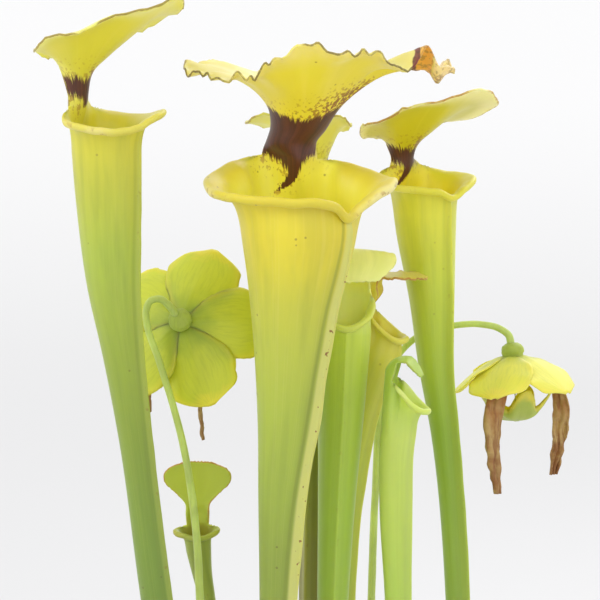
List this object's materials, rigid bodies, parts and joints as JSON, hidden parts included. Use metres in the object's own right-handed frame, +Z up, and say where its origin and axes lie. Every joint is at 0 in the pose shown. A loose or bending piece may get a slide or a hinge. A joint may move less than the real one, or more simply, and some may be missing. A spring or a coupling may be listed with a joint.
{
  "type": "potted pitcher plant",
  "caption": "Potted yellow pitcher plant: tall tubular leaves with flared lips and hoods, and nodding flowers on bare stalks, in a plain round pot.",
  "frame": {"origin": "centre of the underside of the pot's foot", "axes": "+Z up, along the pot's axis. -Y is the plant's front, which its tallest open pitcher faces. +X is the right, seen from the front."},
  "size_m": [0.2492, 0.1861, 0.6337],
  "materials": {
    "pitcher_main": "waxy leaf, fading from yellow at the mouth to green below, with a maroon column",
    "pitcher_left": "waxy leaf, fading from yellow at the mouth to green below",
    "pitcher_right": "waxy leaf, fading from yellow at the mouth to green below, with a maroon column",
    "pitcher_behind": "waxy leaf, fading from yellow at the mouth to green below, with a maroon column",
    "pitcher_young_front": "waxy pale green leaf",
    "pitcher_yellow": "waxy yellow-olive leaf with an orange-brown edge",
    "pitcher_young_right": "waxy pale green leaf",
    "pitcher_small": "waxy olive leaf with a reddish edge",
    "sepal": "thin matt yellow-green tissue",
    "scape": "smooth green stalk",
    "dry_petal": "dry, brown and wrinkled",
    "rhizome": "rough brown rootstock",
    "soil": "loose dark peat and moss",
    "pot": "plain matt charcoal plastic"
  },
  "bodies": {
    "root": {"pitcher_main": "pitcher_main", "pitcher_left": "pitcher_left", "pitcher_right": "pitcher_right", "pitcher_behind": "pitcher_behind", "pitcher_young_front": "pitcher_young_front", "pitcher_yellow": "pitcher_yellow", "pitcher_young_right": "pitcher_young_right", "pitcher_small": "pitcher_small", "bloom_left": "sepal", "bloom_right": "sepal", "scape_left": "scape", "scape_right": "scape", "petal_left_1": "dry_petal", "petal_left_2": "dry_petal", "petal_right_1": "dry_petal", "petal_right_2": "dry_petal", "rhizome": "rhizome", "soil": "soil", "pot": "pot"}
  },
  "joints": []
}
